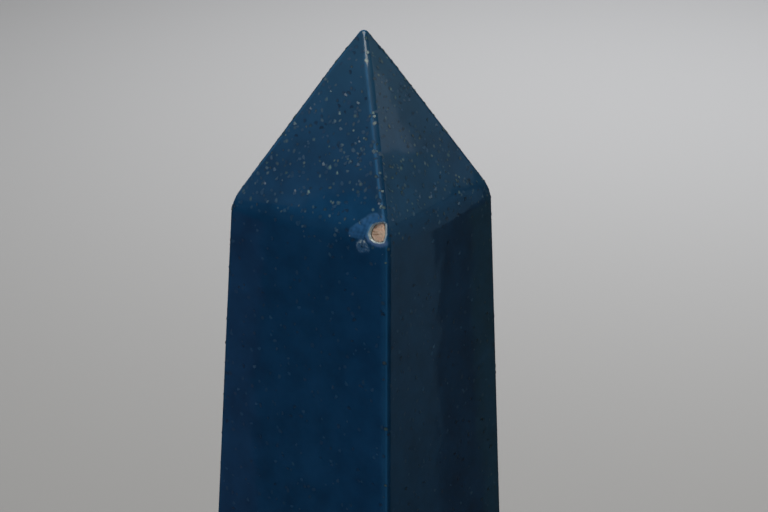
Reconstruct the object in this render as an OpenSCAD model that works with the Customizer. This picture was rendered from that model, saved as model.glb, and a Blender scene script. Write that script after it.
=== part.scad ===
// Lacquered wooden obelisk: a square tapering shaft under a four-sided point.
// Millimetres. Z = 0 is the flat base, +Z is up, the four faces look along X and Y.

/* [Body] */
shaft_h = 180;      // base to the shoulder where the point begins
foot_w = 42;        // across the flats at the base
shoulder_w = 28;    // across the flats at the shoulder, were it sharp
point_h = 26.7;     // shoulder to the apex, were it sharp

/* [Rounding, as measured over the lacquer] */
arris_r = 1.1;      // the four long corners
bend_r = 8;         // the soft turn from shaft face to point face
tip_r = 1.4;        // the blunt apex

/* [Coats] */
lacquer_t = 0.6;    // blue lacquer
ground_t = 0.25;    // white ground under it
coat_lift = 0.4;    // both coats stop this far above the table

/* [Knock at the near shoulder corner] */
chip_w = 2.9;       // width of the break in the lacquer
chip_h = 3.45;      // its height
chip_in = 1.95;     // break's centre, in from the corner
chip_up = 0.75;     // and above the shoulder
chip_turn = 12;     // the way the break faces, round from the front
chip_tilt = 22;     // and up from level
bruise = 0.25;      // depth of the flat bruised into the wood

/* [Show] */

$fn = 32;
steps = 4;          // spheres that carry the soft turn
coats = lacquer_t + ground_t;

// Slopes of a shaft face and a point face off the vertical, and the centre of the turn between
lean = atan((foot_w - shoulder_w) / 2 / shaft_h);
slope = atan(shoulder_w / 2 / point_h);
turn = slope - lean;
middle = (slope + lean) / 2;
bend_x = shoulder_w / 2 - bend_r / cos(turn / 2) * cos(middle);
bend_z = -bend_r / cos(turn / 2) * sin(middle);

function level(k) = lean + turn * k / steps;
function ball_x(k) = bend_x + (bend_r - arris_r) * cos(level(k));
function ball_z(k) = shaft_h + bend_z + (bend_r - arris_r) * sin(level(k));

facing = [sin(chip_turn) * cos(chip_tilt), -cos(chip_turn) * cos(chip_tilt), sin(chip_tilt)];
reach = max([for (k = [0 : steps])
    ball_x(k) * (facing[0] - facing[1]) + ball_z(k) * facing[2]]) + arris_r - coats;

// The whole outline with a thickness taken off all round, cut level at the bottom
module form(inset, bottom = 0) {
    below = 4;
    foot_x = (foot_w + below * (foot_w - shoulder_w) / shaft_h) / 2 - arris_r / cos(lean);
    intersection() {
        hull() {
            for (x = [-1, 1], y = [-1, 1]) {
                translate([x * foot_x, y * foot_x, -below]) sphere(arris_r - inset);
                for (k = [0 : steps])
                    translate([x * ball_x(k), y * ball_x(k), ball_z(k)]) sphere(arris_r - inset);
            }
            translate([0, 0, shaft_h + point_h - tip_r / sin(slope)]) sphere(tip_r - inset);
        }
        translate([-foot_w, -foot_w, bottom])
            cube([2 * foot_w, 2 * foot_w, shaft_h + 2 * point_h]);
    }
}

// Wood, with a small flat bruised into the corner
module wood() {
    difference() {
        form(coats);
        rotate([90 - chip_tilt, 0, chip_turn])
            translate([-foot_w, -2 * shaft_h, reach - bruise])
                cube([2 * foot_w, 4 * shaft_h, foot_w]);
    }
}

// Ragged outline of the break, 1 across and 1 high
ragged = [[-0.24, 0.43], [0.02, 0.5], [0.26, 0.49], [0.43, 0.16], [0.48, -0.2], [0.38, -0.42],
    [0.06, -0.5], [-0.29, -0.41], [-0.49, -0.23], [-0.52, -0.03], [-0.41, 0.23]];

module break_through(smaller) {
    translate([shoulder_w / 2 - chip_in, 0.7 - shoulder_w / 2, shaft_h + chip_up])
        rotate([90 - chip_tilt, 0, chip_turn])
            translate([0, 0, -1.6])
                linear_extrude(4)
                    scale([chip_w - smaller, chip_h - smaller]) polygon(ragged);
}

module core() {
    color("#9c8474") wood();
}

module ground_coat() {
    color("#9fb0ba") difference() {
        form(lacquer_t, coat_lift);
        wood();
        break_through(0.6);
    }
}

module lacquer_coat() {
    color("#123a5c") difference() {
        form(0, coat_lift);
        form(lacquer_t);
        break_through(0);
    }
}

core();
ground_coat();
lacquer_coat();
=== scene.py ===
import math
import random

import bmesh
import bpy
import numpy as np
from mathutils import Matrix, Vector


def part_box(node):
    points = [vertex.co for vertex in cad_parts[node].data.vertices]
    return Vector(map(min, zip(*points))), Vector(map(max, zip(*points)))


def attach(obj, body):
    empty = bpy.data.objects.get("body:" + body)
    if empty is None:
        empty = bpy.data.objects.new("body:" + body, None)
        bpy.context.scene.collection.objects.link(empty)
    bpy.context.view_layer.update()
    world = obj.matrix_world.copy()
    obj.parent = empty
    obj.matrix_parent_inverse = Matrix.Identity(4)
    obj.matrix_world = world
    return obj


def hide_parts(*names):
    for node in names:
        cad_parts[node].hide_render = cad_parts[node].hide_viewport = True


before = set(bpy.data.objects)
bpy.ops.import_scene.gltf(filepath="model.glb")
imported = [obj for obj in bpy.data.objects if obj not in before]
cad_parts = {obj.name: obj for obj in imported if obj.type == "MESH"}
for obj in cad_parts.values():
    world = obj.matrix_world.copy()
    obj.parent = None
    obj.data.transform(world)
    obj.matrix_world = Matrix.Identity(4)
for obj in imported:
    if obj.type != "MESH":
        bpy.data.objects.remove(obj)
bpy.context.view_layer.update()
mm = 0.001

# What a user would change on the body, in mm. The foot and the height come from the CAD box.
obelisk = {
    "shoulderWidth": 28.0,
    "pointHeight": 26.7,
    "arrisRadius": 1.1,
    "bendRadius": 8.0,
    "tipRadius": 1.4,
    "wornTip": 0.85,  # near its end the point is rubbed narrower than the CAD's blunt ball
    "lacquerThickness": 0.6,
    "groundThickness": 0.25,
    "coatLift": 0.4,
    "wobble": 0.022,  # hand-rubbed faces are never quite flat
    "waves": (9.0, 30.0),  # shortest and longest of the slow waves in them
    "waveCount": 14,
    "waveFoot": (0.5, 3.0),  # they start between these heights, so the foot stays flat
    "waveSeed": 5,
}

coats = obelisk["lacquerThickness"] + obelisk["groundThickness"]
slope = math.atan(obelisk["shoulderWidth"] / 2 / obelisk["pointHeight"])
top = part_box("lacquer_coat")[1].z / mm
tipZ = top - obelisk["tipRadius"]
shoulderZ = tipZ + obelisk["tipRadius"] / math.sin(slope) - obelisk["pointHeight"]
lift = obelisk["coatLift"]
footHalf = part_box("lacquer_coat")[1].x / mm
footHalf = (footHalf - lift / shoulderZ * obelisk["shoulderWidth"] / 2) / (1 - lift / shoulderZ)
lean = math.atan((footHalf - obelisk["shoulderWidth"] / 2) / shoulderZ)
turn, middle = slope - lean, (slope + lean) / 2
reach = obelisk["bendRadius"] / math.cos(turn / 2)
bendX = obelisk["shoulderWidth"] / 2 - reach * math.cos(middle)
bendZ = shoulderZ - reach * math.sin(middle)
ballRadius = obelisk["bendRadius"] - obelisk["arrisRadius"]


def smoothstep(low, high, value):
    t = np.clip((value - low) / (high - low), 0.0, 1.0)
    return t * t * (3 - 2 * t)


def towards(around, up):
    # the way to a place that is so many degrees round from the front and so many up
    a, e = math.radians(around), math.radians(up)
    return np.array([math.sin(a) * math.cos(e), -math.cos(a) * math.cos(e), math.sin(e)])


def spread(start, end, first, growth, largest):
    # distances that open out from start, so the mesh is fine only where it needs to be
    steps, here, size = [start], start, first
    while here + size < end:
        here += size
        steps.append(here)
        size = min(size * growth, largest)
    if end - steps[-1] < size * 0.4 and len(steps) > 1:
        steps.pop()
    steps.append(end)
    return steps


# How close the mesh lines lie, in mm: even round the break, opening out away from it
lines = {
    "even": 0.11,
    "below": 4.2,
    "above": 2.6,
    "beside": 7.4,
    "firstOpen": 0.16,
    "growth": 1.25,
    "plain": 1.5,  # on a coat's inner side, both the first distance and its growth
    "turns": (34, 10),  # rings round the shoulder, fine and plain
    "capRings": 7,
    "arcs": (12, 8),  # stops round an arris, beside the break and elsewhere
    "wearFrom": 0.8,  # this far up the point it starts to wear narrower
}


def openOut(length, evenReach, largest):
    near = [d for d in spread(0.0, length, lines["even"], 1.0, largest) if d < evenReach]
    return near + spread(near[-1] + 0.13, length, lines["firstOpen"], lines["growth"], largest)


def levelsUp(bottom, fine):
    # every ring of the body as (normal's angle, corner centre x, its z, radius, how far into the tip)
    lowX, lowZ = bendX + ballRadius * math.cos(lean), bendZ + ballRadius * math.sin(lean)
    highX, highZ = bendX + ballRadius * math.cos(slope), bendZ + ballRadius * math.sin(slope)
    arris, tip, wornTip = obelisk["arrisRadius"], obelisk["tipRadius"], obelisk["wornTip"]
    run = math.hypot(highX, tipZ - highZ)
    plain = lines["plain"]
    if fine:
        down, up = openOut(lowZ - bottom, lines["below"], 5.0), openOut(run, lines["above"], 1.0)
    else:
        down, up = spread(0.0, lowZ - bottom, plain, plain, 9.0), spread(0.0, run, plain, plain, 3.0)
    rings = [(lean, lowX + d * math.tan(lean), lowZ - d, arris, 0.0) for d in reversed(down[1:])]
    count = lines["turns"][0 if fine else 1]
    for k in range(count + 1):
        angle = lean + turn * k / count
        rings.append((angle, bendX + ballRadius * math.cos(angle), bendZ + ballRadius * math.sin(angle),
                      arris, 0.0))
    for d in up[1:]:
        t = d / run
        worn = float(smoothstep(lines["wearFrom"], 1.0, t))
        rings.append((slope, highX * (1 - t), highZ + (tipZ - highZ) * t + (tip - wornTip) * worn,
                      (arris + (tip - arris) * t) * (1 - worn) + wornTip * worn, 0.0))
    caps = lines["capRings"]
    return rings + [(slope, 0.0, top - wornTip, wornTip, k / caps) for k in range(1, caps)]


def stationsRound():
    # stops round a ring: (face, how far along it) and then (face, None, how far round its corner)
    stops = []
    flat = 2 * (obelisk["shoulderWidth"] / 2 - 1.2)
    for face in range(4):
        if face == 0:  # the face with the break, fine towards its right end
            along = sorted(1 - d / flat for d in openOut(flat, lines["beside"], 2.0))
        elif face == 1:
            along = [d / flat for d in spread(0.0, flat, 0.12, 1.12, 2.0)]
        else:
            side = [d / flat for d in spread(0.0, flat / 2, 0.5, 1.5, 2.2)]
            along = side + [1 - s for s in reversed(side[:-1])]
        stops += [(face, f, None) for f in along]
        arc = lines["arcs"][0 if face == 0 else 1]
        stops += [(face, None, k / arc) for k in range(1, arc)]
    return stops


def surface(rings, stops, inset, bottom):
    # points of the body as an array, one row a ring, with the thickness off all round
    points = np.zeros((len(rings), len(stops), 3))
    away = np.zeros_like(points)
    upright = np.array([0.0, 0.0, 1.0])
    for i, (angle, x, z, radius, intoTip) in enumerate(rings):
        normals = [np.array([math.cos(angle) * math.cos(math.radians(a)),
                             math.cos(angle) * math.sin(math.radians(a)), math.sin(angle)])
                   for a in (-90, 0, 90, 180)]
        corners = [np.array([x * sx, x * sy, z]) for sx, sy in ((1, -1), (1, 1), (-1, 1), (-1, -1))]
        between = math.acos(float(np.dot(normals[0], normals[1])))
        for j, (face, along, turned) in enumerate(stops):
            if along is not None:
                centre = corners[face - 1] * (1 - along) + corners[face] * along
                out = normals[face]
            else:
                centre = corners[face]
                after = normals[(face + 1) % 4]
                out = (math.sin((1 - turned) * between) * normals[face]
                       + math.sin(turned * between) * after) / math.sin(between)
            if intoTip:
                rest = math.acos(float(np.dot(out, upright)))
                out = (math.sin((1 - intoTip) * rest) * out
                       + math.sin(intoTip * rest) * upright) / math.sin(rest)
            points[i, j] = centre + out * (radius - inset)
            away[i, j] = out
    # the lowest ring slides along the arrises until it is level
    grade = np.array([[np.sign(p[0]) if abs(p[0]) > abs(p[1]) * 0.97 else 0,
                       np.sign(p[1]) if abs(p[1]) > abs(p[0]) * 0.97 else 0] for p in points[0]])
    drop = points[0, :, 2] - bottom
    points[0, :, :2] += grade * (drop * math.tan(lean))[:, None]
    points[0, :, 2] = bottom
    return wobbleIn(points, away)


def wobbleIn(points, away):
    # slow hand-made unevenness, inwards only, so the body never grows past its size
    rng = np.random.default_rng(obelisk["waveSeed"])
    flow = np.zeros(points.shape[:2])
    for _ in range(obelisk["waveCount"]):
        way = rng.normal(size=3)
        way /= np.linalg.norm(way)
        length = rng.uniform(*obelisk["waves"])
        flow += np.sin(points @ way * 2 * math.pi / length + rng.uniform(0, 2 * math.pi))
    flow = np.clip(0.5 + flow / 12, 0, 1)
    keep = smoothstep(*obelisk["waveFoot"], points[:, :, 2])
    return points - away * (flow * keep * obelisk["wobble"])[:, :, None]


def put(name, data):
    thing = bpy.data.objects.new(name, data)
    bpy.context.scene.collection.objects.link(thing)
    return thing


def meshFrom(name, points, faces, merge=0.004):
    mesh = bpy.data.meshes.new(name)
    mesh.from_pydata([tuple(p * mm) for p in points], [], faces)
    build = bmesh.new()
    build.from_mesh(mesh)
    bmesh.ops.remove_doubles(build, verts=build.verts, dist=merge * mm)
    bmesh.ops.dissolve_degenerate(build, edges=build.edges, dist=merge * mm * 0.5)
    bmesh.ops.delete(build, geom=[v for v in build.verts if not v.link_faces], context="VERTS")
    bmesh.ops.recalc_face_normals(build, faces=build.faces)
    build.to_mesh(mesh)
    build.free()
    return put(name, mesh)


def gridFaces(rows, columns, start, flip=False):
    faces = []
    for i in range(rows - 1):
        for j in range(columns):
            a, b = start + i * columns + j, start + i * columns + (j + 1) % columns
            quad = (a, b, b + columns, a + columns)
            faces.append(quad[::-1] if flip else quad)
    return faces


def closedTop(rows, columns, start, pole, flip=False):
    last = start + (rows - 1) * columns
    tris = [(last + j, last + (j + 1) % columns, pole) for j in range(columns)]
    return [tri[::-1] for tri in tris] if flip else tris


def shell(name, outerInset, innerInset, bottom):
    # a coat: fine outside, plainer inside, level rim at the bottom
    stops = stationsRound()
    outRings, inRings = levelsUp(bottom, True), levelsUp(bottom, False)
    outer = surface(outRings, stops, outerInset, bottom)
    inner = surface(inRings, stops, innerInset, bottom)
    n = len(stops)
    points = list(outer.reshape(-1, 3)) + [np.array([0, 0, top - outerInset])]
    innerStart = len(points)
    points += list(inner.reshape(-1, 3)) + [np.array([0, 0, top - innerInset])]
    faces = gridFaces(len(outRings), n, 0) + closedTop(len(outRings), n, 0, innerStart - 1)
    faces += gridFaces(len(inRings), n, innerStart, True)
    faces += closedTop(len(inRings), n, innerStart, len(points) - 1, True)
    faces += [(j, innerStart + j, innerStart + (j + 1) % n, (j + 1) % n) for j in range(n)]
    return meshFrom(name, points, faces)


def solid(name, inset):
    stops, rings = stationsRound(), levelsUp(0.0, True)
    grid, n = surface(rings, stops, inset, 0.0), len(stops)
    points = list(grid.reshape(-1, 3)) + [np.array([0, 0, top - inset]), np.array([0, 0, 0.0])]
    faces = gridFaces(len(rings), n, 0) + closedTop(len(rings), n, 0, len(points) - 2)
    faces += [((j + 1) % n, j, len(points) - 1) for j in range(n)]
    return meshFrom(name, points, faces)


# The break at the near shoulder corner, in mm on the face's own plane: x across, z from the shoulder
breakage = {
    "around": 30.0,  # the knock went straight in from here
    "up": 19.0,
    "outline": [(11.95, 2.35), (13.3, 2.85), (13.78, 2.6), (13.9, 1.1), (13.55, -0.2), (12.75, -0.55),
                (11.8, -0.58), (11.05, -0.3), (10.72, 0.45), (11.08, 1.45), (11.45, 2.02)],
    "middle": (12.3, 1.1),
    "ledge": {"left": 0.55, "right": 0.34, "top": 0.3, "bottom": 0.24},  # chipped coats left round the wood
    "torn": 0.07,
    "slope": 0.55,  # how far through the lacquer its broken edge slopes
    "bruise": (11.8, 1.75, 0.75),  # a browner spot in the wood: middle and reach
    "swell": 0.52,  # the wood stands up in the break, nearly to the ground's face
    "furrowSlant": 38,
    "corners": 90,  # points round the stoppers that cut the coats
    "depth": 3.5,  # how far behind the face the break still counts
    "seed": 3,
}
knock = towards(breakage["around"], breakage["up"])
facePlane = -obelisk["shoulderWidth"] / 2


def onFace(points):
    # where each point lies on the face's plane, looking along the knock: (x, z from the shoulder)
    along = (facePlane - points[:, 1]) / knock[1]
    return points[:, 0] + knock[0] * along, points[:, 2] + knock[2] * along - shoulderZ


def roundOff(outline, count):
    # a smooth closed line through the corners of the outline
    corners, n = np.array(outline), len(outline)
    line = []
    for k in range(count):
        at = k / count * n
        i, t = int(at), at - int(at)
        a, b, c, d = (corners[(i + s) % n] for s in (-1, 0, 1, 2))
        line.append(0.5 * (2 * b + (c - a) * t + (2 * a - 5 * b + 4 * c - d) * t * t
                           + (3 * b - a - 3 * c + d) * t ** 3))
    return np.array(line)


def plug(name, outline, raggedness):
    # a ragged stopper that is cut out of a coat along the knock, a little wider outside than in
    rng = random.Random(breakage["seed"])
    count = breakage["corners"]
    line = roundOff(outline, count) - np.array(breakage["middle"])
    waves = [(rng.randrange(5, 32), rng.uniform(0, 6.28)) for _ in range(10)]
    rows = [(-4.2, 0.97), (-3.2, 0.98), (-2.4, 0.975), (-1.7, 0.99), (-1.1, 0.985), (-0.6, 1.0),
            (-0.2, 1.005), (1.5, 1.04)]  # how far out along the knock, and how wide there
    points = []
    for row, (out, scale) in enumerate(rows):
        for k, (x, z) in enumerate(line):
            shake = scale + raggedness * sum(
                math.sin(k * w * 2 * math.pi / count + p + row * 0.35) / (1 + w / 8) for w, p in waves)
            spot = np.array([breakage["middle"][0] + x * shake, facePlane,
                             shoulderZ + breakage["middle"][1] + z * shake])
            points.append(spot + knock * out)
    faces = gridFaces(len(rows), count, 0)
    faces.append(tuple(range(count - 1, -1, -1)))
    faces.append(tuple((len(rows) - 1) * count + k for k in range(count)))
    return meshFrom(name, points, faces, 0.0005)


def insetOutline(share):
    # the break's outline drawn in by a share of the chipped ledge that stays round the wood
    xs, zs = zip(*breakage["outline"])
    ledge = {side: width * share for side, width in breakage["ledge"].items()}
    return [(float(np.interp(x, (min(xs), max(xs)), (min(xs) + ledge["left"], max(xs) - ledge["right"]))),
             float(np.interp(z, (min(zs), max(zs)), (min(zs) + ledge["bottom"], max(zs) - ledge["top"]))))
            for x, z in breakage["outline"]]


def applied(thing):
    # the object's mesh with its modifiers done
    bpy.context.view_layer.update()
    return bpy.data.meshes.new_from_object(thing.evaluated_get(bpy.context.evaluated_depsgraph_get()))


def cutAway(thing, tool):
    cut = thing.modifiers.new("break", "BOOLEAN")
    cut.operation, cut.solver, cut.object = "DIFFERENCE", "EXACT", tool
    done = applied(thing)
    thing.modifiers.clear()
    old, thing.data = thing.data, done
    bpy.data.meshes.remove(old)
    done.name = thing.name
    bpy.data.objects.remove(tool)


print("building the wood, the ground and the lacquer")
wood = solid("obeliskWood", coats)
ground = shell("obeliskGround", obelisk["lacquerThickness"], coats, lift)
lacquer = shell("obeliskLacquer", 0.0, obelisk["lacquerThickness"], lift)
cutAway(lacquer, plug("lacquerPlug", insetOutline(0.9), 0.012))
cutAway(ground, plug("groundPlug", insetOutline(1.0), 0.016))
print("polygons", [len(thing.data.polygons) for thing in (wood, ground, lacquer)])


def coordinates(mesh):
    flat = np.zeros(len(mesh.vertices) * 3)
    mesh.vertices.foreach_get("co", flat)
    return flat.reshape(-1, 3) / mm


def store(mesh, name, values, kind="FLOAT"):
    layer = mesh.attributes.new(name, kind, "POINT")
    flat = np.ascontiguousarray(values, np.float32).ravel()
    layer.data.foreach_set("color" if kind == "FLOAT_COLOR" else "value", flat)


def insideOf(x, z, polygon):
    # signed distance to a closed outline, in mm, more than nothing inside
    points = np.array(polygon)
    after = np.roll(points, -1, axis=0)
    far = np.full(x.shape, 1e9)
    odd = np.zeros(x.shape, bool)
    for (ax, az), (bx, bz) in zip(points, after):
        dx, dz = bx - ax, bz - az
        t = np.clip(((x - ax) * dx + (z - az) * dz) / (dx * dx + dz * dz), 0, 1)
        far = np.minimum(far, np.hypot(x - ax - t * dx, z - az - t * dz))
        crosses = (az > z) != (bz > z)
        safe = np.where(abs(bz - az) < 1e-9, 1e-9, bz - az)
        odd ^= crosses & (x < (bx - ax) * (z - az) / safe + ax)
    return np.where(odd, far, -far)


# Where the lacquer has let go round the break, in the same measures as its outline
letGo = {
    "film": [(7.25, 0.0), (7.6, 0.8), (8.7, 1.75), (9.8, 2.65), (10.8, 3.5), (11.9, 3.95), (13.0, 3.85),
             (13.6, 3.3), (12.5, 1.2), (10.8, -0.4), (9.4, -0.6), (8.4, -0.7), (7.45, -0.6)],
    "blisterCentre": (9.8, -1.62),
    "blisterRadius": 0.95,
    "blisterHeight": 0.05,
    "filmHeight": 0.03,
    "liftWay": (0.2, -0.9, 0.2),
    "thinFilm": 0.3,  # how much the film hides where it is thinnest, and how much more in its patches
    "patches": 0.45,
    "cover": {"filmEdgeHighlight": 0.18, "lavender": 0.8, "rimGlow": 0.75, "brokenEdge": 0.92, "edgeStain": 0.5,
              "blisterVeil": 0.36, "blisterPale": 0.8, "blisterDark": 0.95, "spark": 0.7},
    "sparks": [(7.6, -0.5, 0.14), (10.2, -0.72, 0.3), (9.45, -1.0, 0.2), (13.3, -2.0, 0.1)],
}


def hexColour(code, alpha=1.0):
    parts = [int(code[i:i + 2], 16) / 255 for i in (1, 3, 5)]
    return tuple(p / 12.92 if p <= 0.04045 else ((p + 0.055) / 1.055) ** 2.4 for p in parts) + (alpha,)


def colourOf(name):
    return hexColour(finish[name])


def waver(x, z, scale, seed):
    rng = np.random.default_rng(seed)
    total = np.zeros(x.shape)
    for _ in range(8):
        a = rng.uniform(0, 2 * math.pi)
        f = rng.uniform(0.6, 1.9) / scale
        total += np.sin((x * math.cos(a) + z * math.sin(a)) * 2 * math.pi * f + rng.uniform(0, 6.28))
    return total / 8


def loosen(thing):
    # lifts the loose film and the blister a little, and paints how they look
    mesh = thing.data
    points = coordinates(mesh)
    x, z = onFace(points)
    front = (points[:, 1] < facePlane + 3.2) & (x > 5) & (abs(z) < 6)
    film = insideOf(x + 0.1 * waver(x, z, 0.7, 1), z + 0.1 * waver(x, z, 0.9, 2), letGo["film"])
    bx, bz = letGo["blisterCentre"]
    radial = np.hypot(x - bx, 1.1 * (z - bz)) + 0.4 * waver(x, z, 1.5, 3) + 0.1 * waver(x, z, 0.5, 4)
    ring = np.exp(-((radial - letGo["blisterRadius"] * 0.85) / 0.32) ** 2)
    pit = smoothstep(letGo["blisterRadius"] * 0.75, 0.1, radial)
    crumbs = smoothstep(-0.2, 0.2, waver(x, z, 0.5, 7))
    raised = (letGo["filmHeight"] * smoothstep(0, 0.6, film)
              + letGo["blisterHeight"] * (ring * crumbs - 0.5 * pit))
    depthIn = surfaceDepth(points)
    move = np.where(front & (depthIn < obelisk["lacquerThickness"] * 0.9), raised, 0.0)
    points = points + np.array(letGo["liftWay"])[None, :] * move[:, None]
    mesh.vertices.foreach_set("co", (points * mm).ravel())
    tint = np.zeros((len(points), 4))
    tint[:, 3] = 1
    paint = np.zeros(len(points))

    def layer(colour, amount, most):
        nonlocal tint, paint
        amount = np.where(front, np.clip(amount * most, 0, 1), 0)
        share = amount[:, None]
        tint[:, :3] = tint[:, :3] * (1 - share) + np.array(colourOf(colour)[:3]) * share
        paint = paint * (1 - amount) + amount

    # paint holds how much of the lacquer's own colour is covered
    cover = letGo["cover"]
    tint[:, :3] = colourOf("filmBlue")[:3]
    patchy = 0.5 + 0.5 * np.clip(2.5 * waver(x, z, 1.1, 12), -1, 1)
    veil = letGo["thinFilm"] + letGo["patches"] * patchy
    layer("filmBlue", smoothstep(-0.08, 0.4, film), veil)
    # a painted highlight along the lifted film's edge
    layer("filmPale", smoothstep(0.0, 0.12, film) * smoothstep(0.45, 0.15, film), cover["filmEdgeHighlight"])
    hole = insideOf(x, z, breakage["outline"])
    below = smoothstep(0.5, -0.4, z) * smoothstep(9.6, 10.6, x)
    band = smoothstep(-0.8, -0.25, hole + 0.15 * waver(x, z, 0.8, 15))
    layer("lavender", band * below, cover["lavender"])
    glow = smoothstep(-0.45, -0.1, hole) * smoothstep(11.7, 11.0, x) * smoothstep(-0.7, 0.1, z)
    layer("rimGlow", glow, cover["rimGlow"])
    edge = smoothstep(-0.1, 0.04, hole)
    layer("brokenEdge", edge, cover["brokenEdge"])
    stain = smoothstep(0.1, 0.5, waver(x, z, 1.3, 41)) * smoothstep(12.0, 11.2, x)
    layer("edgeStain", edge * stain, cover["edgeStain"])
    disc = smoothstep(letGo["blisterRadius"] * 1.3, letGo["blisterRadius"] * 0.9, radial)
    layer("filmPale", disc, cover["blisterVeil"])
    # the blister's pale crumbs are painted lighter toward its top, a painted highlight
    high = 0.3 + 0.7 * smoothstep(bz - 0.7, bz + 0.5, z)
    upperDiscHighlight = 0.7 * disc * smoothstep(bz - 0.1, bz + 0.6, z)
    layer("blisterPale", np.maximum(ring * high, upperDiscHighlight) * crumbs, cover["blisterPale"])
    layer("blisterDark", pit * smoothstep(0.1, -0.15, waver(x, z, 0.5, 7)), cover["blisterDark"])
    for sx, sz, size in letGo["sparks"]:
        layer("spark", smoothstep(size, size * 0.4, np.hypot(x - sx, z - sz)), cover["spark"])
    store(mesh, "looseTint", tint, "FLOAT_COLOR")
    store(mesh, "loosePaint", paint)


def chamfer(thing):
    # the lacquer chipped away in a slope from its outer face down to the ground
    mesh = thing.data
    points = coordinates(mesh)
    x, z = onFace(points)
    inside = np.maximum(insideOf(x, z, breakage["outline"]), 0)
    left = np.maximum(-insideOf(x, z, insetOutline(0.9)), 0)
    slide = inside / np.maximum(inside + left, 0.01) * breakage["slope"]
    depthIn = surfaceDepth(points)
    near = (points[:, 1] < facePlane + breakage["depth"]) & (points[:, 0] > 0)
    near &= depthIn < obelisk["lacquerThickness"] * 0.97
    push = np.where(near, (obelisk["lacquerThickness"] - depthIn) * slide / -knock[1], 0.0)
    points -= knock[None, :] * push[:, None]
    mesh.vertices.foreach_set("co", (points * mm).ravel())


def tearWood(thing):
    # torn fibres where the coats came away: shallow furrows, pressed inwards
    mesh = thing.data
    points = coordinates(mesh)
    x, z = onFace(points)
    near = points[:, 1] < facePlane + breakage["depth"]
    inHole = smoothstep(-0.1, 0.3, insideOf(x, z, breakage["outline"])) * near
    slant = math.radians(breakage["furrowSlant"])
    across = x * math.sin(slant) + z * math.cos(slant)
    along = x * math.cos(slant) - z * math.sin(slant)
    furrow = 0.6 * waver(across, along * 0.25, 0.45, 31) + 0.4 * waver(x, z, 0.5, 32)
    deep = smoothstep(-0.12, 0.0, insideOf(x, z, insetOutline(1.0))) * near
    press = breakage["torn"] * inHole * (0.6 + furrow) - breakage["swell"] * deep
    points -= knock[None, :] * press[:, None]
    mesh.vertices.foreach_set("co", (points * mm).ravel())
    # a browner patch in the wood, up and to the left in the break
    bx, bz, wide = breakage["bruise"]
    store(mesh, "bruise", deep * smoothstep(wide, 0.1, np.hypot(x - bx, (z - bz) * 1.5)))


def surfaceDepth(points):
    # rough depth under the outer face, in mm, from the nearest of the four sides
    x, y, z = abs(points[:, 0]), abs(points[:, 1]), points[:, 2]
    far = np.maximum(x, y)
    shaft = (obelisk["shoulderWidth"] / 2 + (shoulderZ - z) * math.tan(lean) - far) * math.cos(lean)
    point = (obelisk["shoulderWidth"] / 2 - (z - shoulderZ) * math.tan(slope) - far) * math.cos(slope)
    return np.minimum(shaft, point)


# Where rubbing leaves the coat thinnest, and a highlight is painted along the arrises, in mm
arrisLineAndHighlight = {
    "line": 0.36,  # half the width of the bright line on an arris
    "offLine": 0.45,  # on the point the painted highlight lies this much to one side
    "patchy": 0.45,  # how much it comes and goes near the tip
    "beside": 1.5,  # a dimmer band beside it on the shaft, how wide and how strong
    "besideShare": 0.4,
}


def arrisThinCoatAndHighlight(thing):
    # 1 along the middle of an arris, down to 0 where the coat is whole; partly thinner coat, partly a painted
    # highlight
    mesh = thing.data
    points = coordinates(mesh)
    x, y, z = abs(points[:, 0]), abs(points[:, 1]), points[:, 2]
    shift = arrisLineAndHighlight["offLine"] * smoothstep(shoulderZ + 1, shoulderZ + 8, z) * smoothstep(top, top - 4, z)
    apart = abs(x - y + shift)
    comesAndGoes = 0.5 + 0.5 * np.sin(z * 1.9 + 2 * np.sin(z * 0.7))
    missing = arrisLineAndHighlight["patchy"] * smoothstep(shoulderZ + 6, shoulderZ + 14, z) * comesAndGoes
    corner = smoothstep(arrisLineAndHighlight["line"], 0.0, apart) * (1 - missing)
    beside = smoothstep(arrisLineAndHighlight["beside"], 0.1, apart) * (x < y)
    beside = beside * smoothstep(shoulderZ - 1, shoulderZ - 4, z)
    store(mesh, "arris", np.maximum(corner, arrisLineAndHighlight["besideShare"] * beside))
    # greyer toward the tip: a painted reflection of the bright room above
    store(mesh, "hazeUp", smoothstep(shoulderZ + 4, top, z))


finish = {
    "lacquer": "#0f4066",
    "lacquerDeep": "#0b3150",
    "lacquerLight": "#184e79",
    # arris: lighter blue along the arrises, partly thin coat and partly a painted highlight
    "arris": "#276b9e",
    "filmBlue": "#376ca2",
    "filmPale": "#5585ae",
    "rimGlow": "#5d93bd",
    "lavender": "#647fae",
    "brokenEdge": "#a9b8be",
    "edgeStain": "#a3a88a",
    "blisterPale": "#9fb3b6",
    "blisterDark": "#10262f",
    "spark": "#d4e2e6",
    "speck": "#071c30",
    "speckAmount": 0.22,
    "arrisHighlightAmount": 0.72,
    # a painted reflection of the bright room, laid on greyer toward the tip
    "haze": "#386178",
    "skyReflectionAmount": 0.3,
    "coatRoughness": 0.045,
    "ground": "#b3bdbe",
    "groundStain": "#a0a28c",
    "wood": "#d5bca8",
    "woodPink": "#dab19b",
    "woodBrown": "#9f7b64",
    "woodBrownPatch": "#8d6150",
    "flakePale": "#bfdccb",
    "flakeGold": "#8fa294",
    "flakeDeep": "#3a6c80",
    "flakeRose": "#a5a67e",
    "flakeGreen": "#7fb498",
    "flakeShow": 0.44,
    "grainSlant": -38,
}
loosen(lacquer)
chamfer(lacquer)
tearWood(wood)
arrisThinCoatAndHighlight(lacquer)
for thing in (wood, ground, lacquer):
    for polygon in thing.data.polygons:
        polygon.use_smooth = True
    thing.data.set_sharp_from_angle(angle=math.radians(35))
print("loosened the film round the break")


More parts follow.
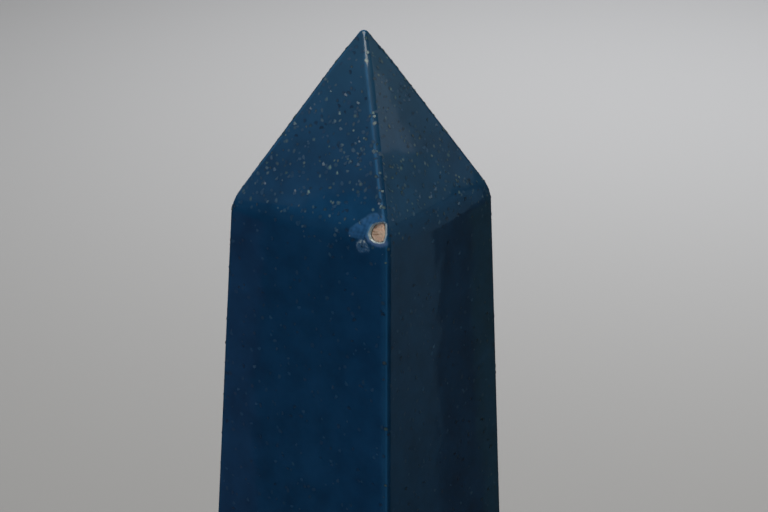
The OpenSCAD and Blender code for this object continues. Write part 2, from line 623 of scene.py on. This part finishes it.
def add(tree, kind, settings=None, links=None, **values):
    # one node, its settings, its links from (node, output) and its plain inputs, nK being input number K
    node = tree.nodes.new(kind)
    for key, value in (settings or {}).items():
        if key == "stops":  # a colour ramp's (place, colour)
            marks = node.color_ramp.elements
            marks[0].position, marks[0].color = value[0]
            marks[1].position, marks[1].color = value[-1]
            for place, colour in value[1:-1]:
                marks.new(place).color = colour
        else:
            setattr(node, key, value)
    for key, value in values.items():
        numbered = key[0] == "n" and key[1:].isdigit()
        node.inputs[int(key[1:]) if numbered else key.replace("_", " ")].default_value = value
    for key, (source, output) in (links or {}).items():
        tree.links.new(source.outputs[output], node.inputs[key])
    return node


def newMaterial(name):
    material = bpy.data.materials.new(name)
    material.use_nodes = True
    tree = material.node_tree
    tree.nodes.clear()
    return material, tree


# How wide each pattern's cells are, in mm
patterns = {
    "cloud": 5.0,  # slow changes of the lacquer's blue
    "speck": 0.55,  # dark specks in it
    "brushWave": 9.0,  # the swell that brushing leaves
    "peel": 0.5,  # the fine orange peel of the gloss
    "stain": 0.8,
    "chalkGrit": 0.15,
    "grain": 1.6,
    "pore": 0.35,  # coarser than real pores, so that they show
}


def scaleFor(name):
    return 1 / (patterns[name] * mm)  # on Object coordinates, in metres


def lacquerMaterial():
    # blue lacquer, brushed and rubbed: deep, slightly cloudy, glossy, thinner and bluer along the arrises,
    # where a highlight is painted too
    material, tree = newMaterial("rubbedBlueLacquer")
    times, mixing = {"operation": "MULTIPLY"}, {"data_type": "RGBA"}
    place = add(tree, "ShaderNodeTexCoord")
    where = {"Vector": (place, "Object")}
    cloud = add(tree, "ShaderNodeTexNoise", links=where, Scale=scaleFor("cloud"), Detail=4.0, Roughness=0.6)
    stops = [(0.15, colourOf("lacquerDeep")), (0.5, colourOf("lacquer")),
             (0.95, colourOf("lacquerLight"))]
    tone = add(tree, "ShaderNodeValToRGB", {"stops": stops}, {"Fac": (cloud, "Fac")})
    speck = add(tree, "ShaderNodeTexVoronoi", links=where, Scale=scaleFor("speck"))
    speckMask = add(tree, "ShaderNodeMapRange", links={"Value": (speck, "Distance")},
                    n1=0.05, n2=0.2, n3=1.0, n4=0.0)
    pick = add(tree, "ShaderNodeSeparateColor", links={"Color": (speck, "Color")})
    rare = add(tree, "ShaderNodeMath", {"operation": "GREATER_THAN"}, {0: (pick, "Red")}, n1=0.62)
    darkSpeck = add(tree, "ShaderNodeMath", times, {0: (speckMask, "Result"), 1: (rare, "Value")})
    arris, up, loose, paint = (add(tree, "ShaderNodeAttribute", {"attribute_name": name})
                               for name in ("arris", "hazeUp", "looseTint", "loosePaint"))
    under = (tone, "Color")
    for mask, most, colour in (((darkSpeck, "Value"), "speckAmount", "speck"),
                               ((up, "Fac"), "skyReflectionAmount", "haze"), ((arris, "Fac"), "arrisHighlightAmount", "arris")):
        amount = add(tree, "ShaderNodeMath", times, {0: mask}, n1=finish[most])
        under = (add(tree, "ShaderNodeMix", mixing, {0: (amount, "Value"), 6: under}, n7=colourOf(colour)), 2)
    painted = add(tree, "ShaderNodeMix", mixing, {0: (paint, "Fac"), 6: under, 7: (loose, "Color")})
    wave = add(tree, "ShaderNodeTexNoise", links=where, Scale=scaleFor("brushWave"))
    fine = add(tree, "ShaderNodeTexNoise", links=where, Scale=scaleFor("peel"), Detail=3.0, Roughness=0.6)
    rough = add(tree, "ShaderNodeMapRange", links={"Value": (fine, "Fac")},
                n1=0.3, n2=0.7, n3=0.28, n4=0.42)
    slow = add(tree, "ShaderNodeBump", links={"Height": (wave, "Fac")}, Strength=0.18, Distance=0.2 * mm)
    bump = add(tree, "ShaderNodeBump", links={"Height": (fine, "Fac"), "Normal": (slow, "Normal")},
               Strength=0.12, Distance=0.03 * mm)
    shader = add(tree, "ShaderNodeBsdfPrincipled", links={
        "Base Color": (painted, 2), "Roughness": (rough, "Result"), "Normal": (bump, "Normal"),
        "Coat Normal": (slow, "Normal")}, IOR=1.5, Specular_IOR_Level=0.2, Coat_Weight=1.0,
        Coat_Roughness=finish["coatRoughness"])
    add(tree, "ShaderNodeOutputMaterial", links={"Surface": (shader, "BSDF")})
    return material


def groundMaterial():
    # chalk ground: matt, off-white, stained a little olive in places, with a fine grit
    material, tree = newMaterial("chalkGround")
    place = add(tree, "ShaderNodeTexCoord")
    where = {"Vector": (place, "Object")}
    stain = add(tree, "ShaderNodeTexNoise", links=where, Scale=scaleFor("stain"), Detail=5.0)
    stops = [(0.35, colourOf("groundStain")), (0.65, colourOf("ground"))]
    tone = add(tree, "ShaderNodeValToRGB", {"stops": stops}, {"Fac": (stain, "Fac")})
    grit = add(tree, "ShaderNodeTexNoise", links=where, Scale=scaleFor("chalkGrit"), Detail=4.0)
    bump = add(tree, "ShaderNodeBump", links={"Height": (grit, "Fac")}, Strength=0.5, Distance=0.04 * mm)
    shader = add(tree, "ShaderNodeBsdfPrincipled",
                 links={"Base Color": (tone, "Color"), "Normal": (bump, "Normal")}, Roughness=0.85)
    add(tree, "ShaderNodeOutputMaterial", links={"Surface": (shader, "BSDF")})
    return material


def woodMaterial():
    # pale pinkish hardwood, sawn across under the foot and torn where the coats came off
    material, tree = newMaterial("palePinkishWood")
    mixing = {"data_type": "RGBA"}
    place = add(tree, "ShaderNodeTexCoord")
    turned = add(tree, "ShaderNodeMapping", links={"Vector": (place, "Object")},
                 Rotation=(0.0, math.radians(finish["grainSlant"]), 0.0), Scale=(1.0, 1.0, 4.5))
    streak = add(tree, "ShaderNodeTexNoise", links={"Vector": (turned, "Vector")},
                 Scale=scaleFor("grain"), Detail=5.0, Roughness=0.6)
    stops = [(0.34, colourOf("woodBrown")), (0.47, colourOf("wood")),
             (0.6, colourOf("woodPink")), (0.72, colourOf("wood"))]
    tone = add(tree, "ShaderNodeValToRGB", {"stops": stops}, {"Fac": (streak, "Fac")})
    pore = add(tree, "ShaderNodeTexVoronoi", links={"Vector": (place, "Object")}, Scale=scaleFor("pore"))
    poreMask = add(tree, "ShaderNodeMapRange", links={"Value": (pore, "Distance")},
                   n1=0.08, n2=0.25, n3=0.35, n4=0.0)
    pored = add(tree, "ShaderNodeMix", mixing, {0: (poreMask, "Result"), 6: (tone, "Color")},
                n7=colourOf("woodBrown"))
    bruise = add(tree, "ShaderNodeAttribute", {"attribute_name": "bruise"})
    dulled = add(tree, "ShaderNodeMath", {"operation": "MULTIPLY"}, {0: (bruise, "Fac")}, n1=0.7)
    browned = add(tree, "ShaderNodeMix", mixing, {0: (dulled, "Value"), 6: (pored, 2)},
                  n7=colourOf("woodBrownPatch"))
    bump = add(tree, "ShaderNodeBump", links={"Height": (streak, "Fac")}, Strength=0.6, Distance=0.1 * mm)
    shader = add(tree, "ShaderNodeBsdfPrincipled",
                 links={"Base Color": (browned, 2), "Normal": (bump, "Normal")}, Roughness=0.7)
    add(tree, "ShaderNodeOutputMaterial", links={"Surface": (shader, "BSDF")})
    return material


def flakeMaterial():
    # metal flakes held in the lacquer: pale gold near the surface, blue-green and dim deeper down
    material, tree = newMaterial("metalFlake")
    times, mixing = {"operation": "MULTIPLY"}, {"data_type": "RGBA"}
    deepness, lying, rim, bed = (add(tree, "ShaderNodeAttribute", {"attribute_name": name})
                                 for name in ("deepness", "lying", "rim", "bed"))
    stops = [(0.0, colourOf("flakePale")), (0.35, colourOf("flakeGold")),
             (0.75, colourOf("flakeDeep")), (1.0, colourOf("lacquerDeep"))]
    tone = add(tree, "ShaderNodeValToRGB", {"stops": stops}, {"Fac": (deepness, "Fac")})
    face = add(tree, "ShaderNodeNewGeometry")
    tipped = add(tree, "ShaderNodeVectorMath", {"operation": "ADD"},
                 {0: (face, "Normal"), 1: (lying, "Vector")})
    level = add(tree, "ShaderNodeVectorMath", {"operation": "NORMALIZE"}, {0: (tipped, "Vector")})
    shape = add(tree, "ShaderNodeMapRange", links={"Value": (rim, "Fac")}, n3=1.0, n4=0.0)
    above = add(tree, "ShaderNodeMapRange", links={"Value": (deepness, "Fac")}, n3=1.0, n4=0.0)
    clear = add(tree, "ShaderNodeMath", {"operation": "POWER"}, {0: (above, "Result")}, n1=2.6)
    shown = add(tree, "ShaderNodeMapRange", links={"Value": (clear, "Value")},
                n3=0.05, n4=finish["flakeShow"])
    sunk = add(tree, "ShaderNodeMath", times, {0: (shape, "Result"), 1: (shown, "Result")})
    apart = add(tree, "ShaderNodeSeparateXYZ", links={"Vector": (lying, "Vector")})
    hue = add(tree, "ShaderNodeMapRange", links={"Value": (apart, "X")}, n1=-0.2, n2=0.2, n3=0.0, n4=1.0)
    tinted = add(tree, "ShaderNodeMix", mixing, {0: (hue, "Result")},
                 n6=colourOf("flakeRose"), n7=colourOf("flakeGreen"))
    toned = add(tree, "ShaderNodeMix", mixing, {6: (tone, "Color"), 7: (tinted, 2)}, n0=0.6)
    edged = add(tree, "ShaderNodeMix", mixing, {0: (sunk, "Value"), 7: (toned, 2)},
                n6=colourOf("lacquer"))
    metal = add(tree, "ShaderNodeMath", times, {0: (sunk, "Value")}, n1=0.6)
    shader = add(tree, "ShaderNodeBsdfPrincipled", links={
        "Base Color": (edged, 2), "Metallic": (metal, "Value"), "Normal": (level, "Vector"),
        "Coat Normal": (bed, "Vector")}, Roughness=0.45,
        Coat_Weight=1.0, Coat_Roughness=finish["coatRoughness"])  # the gloss runs on over the flakes
    add(tree, "ShaderNodeOutputMaterial", links={"Surface": (shader, "BSDF")})
    return material


# Metal flakes in the lacquer, in mm
flakes = {
    "perSquareMm": 0.85,
    "onShaft": 0.25,  # share of them that the shaft has
    "smallest": 0.2,
    "largest": 0.44,
    "lift": 3.0,
    "tilt": 11.0,
    "proud": 0.008,
    "sides": 6,
    "narrowest": 0.6,  # a flake's least width against its length
    "arris": 0.3,  # this near an arris the coat is rubbed thin and they show most
    "shaftShadeDepth": 0.5,  # on the shaft they are painted deeper and dimmer, a painted shade, from here down to 1
    "foot": 1.5,
    "belowTip": 0.25,
    "seed": 11,
}


def flakeBed():
    # the lacquer's outer face without the break, for the flakes to lie on
    stops, rings = stationsRound(), levelsUp(lift, True)
    flat = surface(rings, stops, 0.0, lift).reshape(-1, 3)
    hole = insideOf(*onFace(flat), breakage["outline"])
    bare = (flat[:, 1] < facePlane + breakage["depth"]) & (flat[:, 0] > 0) & (hole > -0.3)
    bare |= (flat[:, 2] < flakes["foot"]) | (flat[:, 2] > top - flakes["belowTip"])
    faces = [f for f in gridFaces(len(rings), len(stops), 0) if not any(bare[v] for v in f)]
    return meshFrom("flakeBed", flat, faces)


def flakeTree(material):
    tree = bpy.data.node_groups.new("scatterFlakes", "GeometryNodeTree")
    face = tree.interface
    for way in ("INPUT", "OUTPUT"):
        face.new_socket("Geometry", in_out=way, socket_type="NodeSocketGeometry")
    for name in ("Per square metre", "Smallest", "Largest", "Lift", "Tilt", "Proud", "Shaft", "Point"):
        face.new_socket(name, in_out="INPUT", socket_type="NodeSocketFloat")
    face.new_socket("Seed", in_out="INPUT", socket_type="NodeSocketInt")
    anyFloat, times = {"data_type": "FLOAT"}, {"operation": "MULTIPLY"}
    onPoints = {"data_type": "FLOAT", "domain": "POINT"}
    onPointsWay = {"data_type": "FLOAT_VECTOR", "domain": "POINT"}
    start = add(tree, "NodeGroupInput")
    upFrom = {"From Min": (start, "Shaft"), "From Max": (start, "Point")}

    # how many there are, fewer below the shoulder, each a hair proud of the lacquer
    here = add(tree, "GeometryNodeInputPosition")
    hereApart = add(tree, "ShaderNodeSeparateXYZ", links={"Vector": (here, "Position")})
    share = add(tree, "ShaderNodeMapRange", {"interpolation_type": "SMOOTHSTEP"},
                {"Value": (hereApart, "Z"), **upFrom}, n3=flakes["onShaft"], n4=1.0)
    density = add(tree, "ShaderNodeMath", times, {0: (share, "Result"), 1: (start, "Per square metre")})
    points = add(tree, "GeometryNodeDistributePointsOnFaces", links={
        "Mesh": (start, "Geometry"), "Density": (density, "Value"), "Seed": (start, "Seed")})
    reachOut = add(tree, "ShaderNodeVectorMath", {"operation": "SCALE"},
                   {0: (points, "Normal"), "Scale": (start, "Proud")})
    shifted = add(tree, "GeometryNodeSetPosition",
                  links={"Geometry": (points, "Points"), "Offset": (reachOut, "Vector")})

    # how deep each lies: near nothing along the arrises, and painted deeper and dimmer on the shaft as
    # painted shade
    anyDepth = add(tree, "FunctionNodeRandomValue", anyFloat, {"Seed": (start, "Seed")})
    spot = add(tree, "GeometryNodeInputPosition")
    apart = add(tree, "ShaderNodeSeparateXYZ", links={"Vector": (spot, "Position")})
    shaftShade = add(tree, "ShaderNodeMapRange", {"interpolation_type": "SMOOTHSTEP"},
                {"Value": (apart, "Z"), **upFrom}, n3=flakes["shaftShadeDepth"], n4=0.0)
    deepHere = add(tree, "ShaderNodeMapRange",
                   links={"Value": (anyDepth, 1), "To Min": (shaftShade, "Result")}, n4=1.0)
    sizeX, sizeY = (add(tree, "ShaderNodeMath", {"operation": "ABSOLUTE"}, {0: (apart, way)}) for way in "XY")
    offArris = add(tree, "ShaderNodeMath", {"operation": "SUBTRACT"},
                   {0: (sizeX, "Value"), 1: (sizeY, "Value")})
    farOff = add(tree, "ShaderNodeMath", {"operation": "ABSOLUTE"}, {0: (offArris, "Value")})
    rubbed = add(tree, "ShaderNodeMapRange", links={"Value": (farOff, "Value")},
                 n1=flakes["arris"] * mm, n2=2 * flakes["arris"] * mm, n3=0.0, n4=1.0)
    deepness = add(tree, "ShaderNodeMath", times, {0: (deepHere, "Result"), 1: (rubbed, "Result")})
    marked = add(tree, "GeometryNodeStoreNamedAttribute", onPoints,
                 {"Geometry": (shifted, "Geometry"), "Value": (deepness, "Value")}, Name="deepness")

    # one flake: a six-sided disc that knows how far out its rim is
    disc = add(tree, "GeometryNodeMeshCircle", {"fill_type": "TRIANGLE_FAN"}, Vertices=flakes["sides"])
    place = add(tree, "GeometryNodeInputPosition")
    outward = add(tree, "ShaderNodeVectorMath", {"operation": "LENGTH"}, {0: (place, "Position")})
    rimmed = add(tree, "GeometryNodeStoreNamedAttribute", onPoints,
                 {"Geometry": (disc, "Mesh"), "Value": (outward, "Value")}, Name="rim")

    # how it lies: lifted a little, and tilted more in how it catches the light
    oneWay, otherWay = (add(tree, "FunctionNodeRandomValue", {"data_type": "FLOAT_VECTOR"}, Seed=seed,
                            n0=(-1.0, -1.0, -1.0), n1=(1.0, 1.0, 1.0)) for seed in (0, 5))
    anyWay = add(tree, "ShaderNodeVectorMath", {"operation": "ADD"}, {0: (oneWay, 0), 1: (otherWay, 0)})
    leanBy, lyingBy = (add(tree, "ShaderNodeVectorMath", {"operation": "SCALE"},
                           {0: (anyWay, "Vector"), "Scale": (start, name)}) for name in ("Lift", "Tilt"))
    lying = add(tree, "GeometryNodeStoreNamedAttribute", onPointsWay,
                {"Geometry": (marked, "Geometry"), "Value": (lyingBy, "Vector")}, Name="lying")
    bedded = add(tree, "GeometryNodeStoreNamedAttribute", onPointsWay,
                 {"Geometry": (lying, "Geometry"), "Value": (points, "Normal")}, Name="bed")
    tipped = add(tree, "ShaderNodeVectorMath", {"operation": "ADD"},
                 {0: (points, "Normal"), 1: (leanBy, "Vector")})
    facing = add(tree, "FunctionNodeAlignRotationToVector", {"axis": "Z"}, {"Vector": (tipped, "Vector")})
    spin = add(tree, "FunctionNodeRandomValue", anyFloat, n2=0.0, n3=6.28, Seed=9)
    about = add(tree, "FunctionNodeAxisAngleToRotation", links={"Angle": (spin, 1)})
    turned = add(tree, "FunctionNodeRotateRotation", {"rotation_space": "LOCAL"},
                 {"Rotation": (facing, "Rotation"), "Rotate By": (about, "Rotation")})
    size = add(tree, "FunctionNodeRandomValue", anyFloat,
               {2: (start, "Smallest"), 3: (start, "Largest")}, Seed=21)
    narrow = add(tree, "FunctionNodeRandomValue", anyFloat, n2=flakes["narrowest"], Seed=33)
    wide = add(tree, "ShaderNodeMath", times, {0: (size, 1), 1: (narrow, 1)})
    shape = add(tree, "ShaderNodeCombineXYZ", links={"X": (size, 1), "Y": (wide, "Value"), "Z": (size, 1)})
    placed = add(tree, "GeometryNodeInstanceOnPoints", links={
        "Points": (bedded, "Geometry"), "Instance": (rimmed, "Geometry"),
        "Rotation": (turned, "Rotation"), "Scale": (shape, "Vector")})
    real = add(tree, "GeometryNodeRealizeInstances", links={"Geometry": (placed, "Instances")})
    dressed = add(tree, "GeometryNodeSetMaterial", links={"Geometry": (real, "Geometry")},
                  Material=material)
    add(tree, "NodeGroupOutput", links={"Geometry": (dressed, "Geometry")})
    return tree


def scatterFlakes(material):
    bed = flakeBed()
    tree = flakeTree(material)
    grow = bed.modifiers.new("flakes", "NODES")
    grow.node_group = tree
    values = {"Per square metre": flakes["perSquareMm"] / mm / mm, "Smallest": flakes["smallest"] * mm,
              "Largest": flakes["largest"] * mm, "Tilt": math.tan(math.radians(flakes["tilt"])),
              "Lift": math.tan(math.radians(flakes["lift"])), "Shaft": (shoulderZ - 4) * mm,
              "Point": (shoulderZ + 2) * mm, "Proud": flakes["proud"] * mm, "Seed": flakes["seed"]}
    for item in tree.interface.items_tree:
        if item.in_out == "INPUT" and item.name in values:
            grow[item.identifier] = values[item.name]
    mesh = applied(bed)
    mesh.name = "obeliskFlakes"
    mesh.materials.clear()
    mesh.materials.append(material)
    bpy.data.objects.remove(bed)
    return put("obeliskFlakes", mesh)


print("making the finishes")
lacquer.data.materials.append(lacquerMaterial())
ground.data.materials.append(groundMaterial())
wood.data.materials.append(woodMaterial())
flakeStuff = flakeMaterial()
scattered = scatterFlakes(flakeStuff)
print("scattered flakes", len(scattered.data.polygons))

for thing, node, slotName in ((wood, "core", "core_wood"), (ground, "ground_coat", "white_ground"),
                              (lacquer, "lacquer_coat", "blue_lacquer")):
    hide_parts(node)
    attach(thing, "root")
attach(scattered, "root")

# Where the camera and lights stand: round from the front, up, and how far, in degrees and mm
studio = {
    "cameraAround": 34.33, "cameraUp": 20.85, "cameraFar": 320.6, "cameraRight": 3.26, "cameraRaise": -8.87,
    "cameraRoll": 0.67, "cameraView": 20.0,
    "key": {"around": -5, "up": 25, "far": 900, "size": 460, "power": 1.7, "colour": "#e6f2ff"},
    "topLight": {"around": 40, "up": 84, "far": 900, "size": 800, "power": 6.1, "colour": "#fff8e8"},
    "edge": {"around": 110, "up": 62, "far": 900, "size": 350, "power": 0.6, "colour": "#ffedd0"},
    "sheen": {"around": 32, "up": 51, "far": 900, "size": 220, "power": 0.03, "colour": "#c0daff"},
    "backdrop": {"around": 203, "far": 712, "high": 470, "size": 600, "power": 3.9, "colour": "#ffffff"},
    "world": 0.03,
    "cards": {  # pale reflectors that only the gloss sees: outlines in mm, across and up a plane 250 mm off
        "lowCard": {"around": 146, "glow": (0.05, 0.25), "colour": "#9cc0e2",
                    "outline": [(-21.2, -60), (-12.4, 105), (-12.4, 236), (-70, 236), (-70, -60)]},
        "warmCard": {"around": 146, "glow": (0.018, 0.022), "colour": "#ff9868",
                     "outline": [(-4.5, -60), (-4.5, 236), (-12.4, 236), (-12.4, 105), (-21.2, -60)]},
        "rimCard": {"around": 146, "glow": (0.045, 0.055), "colour": "#d2eeb0",
                    "outline": [(60, -60), (60, 236), (-4.5, 236), (-4.5, -60)]},
        "backCard": {"around": 146, "glow": (0.26, 0.26), "colour": "#b4dcf4",
                     "outline": [(-70, 239), (-9.5, 239), (-9.5, 249.5), (-22, 262), (-70, 262)]},
        "highCard": {"around": 146, "glow": (0.22, 0.22), "colour": "#d4ecfc",
                     "outline": [(-9.5, 249.5), (-9.5, 237), (40, 237), (40, 330), (5, 330), (-3.5, 274),
                                 (-12.5, 252.5)]},
        "brightCard": {"around": 146, "glow": (0.53, 0.53), "colour": "#d8e8f6",
                       "outline": [(-70, 262), (-22, 262), (-12.5, 252.5), (-3.5, 274), (5, 330),
                                   (-70, 330)]},
        "skyCard": {"around": -38, "glow": (0.1, 0.1), "colour": "#ffffff",
                    "outline": [(-260, 236), (5, 236), (5, 299), (14, 309), (260, 312), (260, 700),
                                (-260, 700)]},
        "arrisCard": {"around": 90, "glow": (0.06, 0.06), "colour": "#a0c8f0",
                      "outline": [(-110, 236), (110, 236), (110, 420), (-110, 420)]},
        "blueCard": {"around": -38, "glow": (0.1, 0.1), "colour": "#5ea8ff",
                     "outline": [(5, 236), (260, 236), (260, 312), (14, 309), (5, 299)]},
        "glowCard": {"around": -45, "glow": (0.02, 0.02), "colour": "#1478ff",
                     "outline": [(61, -150), (160, -150), (160, 118), (61, 118)]},
        "leftCard": {"around": -45, "glow": (0.042, 0.042), "colour": "#f07a80",
                     "outline": [(38.5, -150), (38.5, 150), (-80, 150), (-80, -150)]},
    },
    "cardFar": 250,
    "floor": "#a0a1a4",
}


def makeCamera():
    back = Vector(towards(studio["cameraAround"], studio["cameraUp"]))
    a = math.radians(studio["cameraAround"])
    right = Vector((math.cos(a), math.sin(a), 0))
    up = back.cross(right)
    place = (Vector((0, 0, shoulderZ)) + back * studio["cameraFar"] + right * studio["cameraRight"]
             + up * studio["cameraRaise"]) * mm
    r = math.radians(studio["cameraRoll"])
    rolledRight = right * math.cos(r) + up * math.sin(r)
    rolledUp = up * math.cos(r) - right * math.sin(r)
    data = bpy.data.cameras.new("camera")
    data.sensor_width = 36
    data.lens = 18 / math.tan(math.radians(studio["cameraView"]) / 2)
    data.clip_start, data.clip_end = 0.01, 50
    camera = put("camera", data)
    facing = [[rolledRight[i], rolledUp[i], back[i]] for i in range(3)]
    camera.matrix_world = Matrix.Translation(place) @ Matrix(facing).to_4x4()
    bpy.context.scene.camera = camera


def makeLight(name, facts, aim):
    data = bpy.data.lights.new(name, "AREA")
    data.shape, data.size, data.energy = "DISK", facts["size"] * mm, facts["power"]
    data.color = hexColour(facts["colour"])[:3]
    light = put(name, data)
    out = Vector(towards(facts["around"], facts["up"]))
    light.location = aim + out * facts["far"] * mm
    light.rotation_mode = "QUATERNION"
    light.rotation_quaternion = (-(light.location - aim)).to_track_quat("-Z", "Y")
    light.visible_camera = False
    return light


def plainStage(name, size, height, colour):
    mesh = bpy.data.meshes.new(name)
    corners = [(x * size, y * size, height) for x, y in ((-1, -1), (1, -1), (1, 1), (-1, 1))]
    mesh.from_pydata(corners, [], [(0, 1, 2, 3)])
    thing = put(name, mesh)
    material, tree = newMaterial(name)
    shader = add(tree, "ShaderNodeBsdfPrincipled", Base_Color=hexColour(colour), Roughness=0.9,
                 Specular_IOR_Level=0.1)
    add(tree, "ShaderNodeOutputMaterial", links={"Surface": (shader, "BSDF")})
    mesh.materials.append(material)
    return thing


def makeCard(name, facts):
    out, a = Vector(towards(facts["around"], 0)), math.radians(facts["around"])
    side = Vector((math.cos(a), math.sin(a), 0))
    spots = [(out * studio["cardFar"] + side * across + Vector((0, 0, up))) * mm
             for across, up in facts["outline"]]
    mesh = bpy.data.meshes.new(name)
    mesh.from_pydata([tuple(spot) for spot in spots], [], [tuple(range(len(spots)))])
    thing = put(name, mesh)
    material, tree = newMaterial(name)
    place = add(tree, "ShaderNodeTexCoord")
    apart = add(tree, "ShaderNodeSeparateXYZ", links={"Vector": (place, "Object")})
    glow = add(tree, "ShaderNodeMapRange", links={"Value": (apart, "Z")},
               n2=0.1, n3=facts["glow"][0], n4=facts["glow"][1])
    shader = add(tree, "ShaderNodeEmission", links={"Strength": (glow, "Result")},
                 Color=hexColour(facts["colour"]))
    add(tree, "ShaderNodeOutputMaterial", links={"Surface": (shader, "Emission")})
    mesh.materials.append(material)
    thing.visible_camera = thing.visible_diffuse = thing.visible_shadow = False


makeCamera()
aim = Vector((0, 0, shoulderZ * mm))
for name in ("key", "edge"):
    makeLight(name, studio[name], aim).visible_glossy = False
makeLight("topLight", studio["topLight"], aim)
makeLight("sheen", studio["sheen"], aim).visible_diffuse = False  # a thin line down the near arris
back = studio["backdrop"]
spot = Vector(towards(back["around"], 0)) * back["far"] * mm
above = {**back, "up": 90, "far": back["high"]}
makeLight("backdrop", above, Vector((spot.x, spot.y, 0))).visible_glossy = False
for name, facts in studio["cards"].items():
    makeCard(name, facts)
floor = plainStage("paleFloor", 8.0, 0.0, studio["floor"])
floor.visible_glossy = False  # the lower half of the room is dim in the gloss
dark = plainStage("dimGround", 8.0, -0.002, "#2a2a2c")
dark.visible_camera = dark.visible_diffuse = dark.visible_shadow = dark.visible_transmission = False
world = bpy.data.worlds.new("softRoom")
bpy.context.scene.world = world
world.use_nodes = True
world.node_tree.nodes["Background"].inputs["Color"].default_value = hexColour("#e8ecef")
world.node_tree.nodes["Background"].inputs["Strength"].default_value = studio["world"]
bpy.context.scene.view_settings.view_transform = "Standard"
print("set the camera and lights")
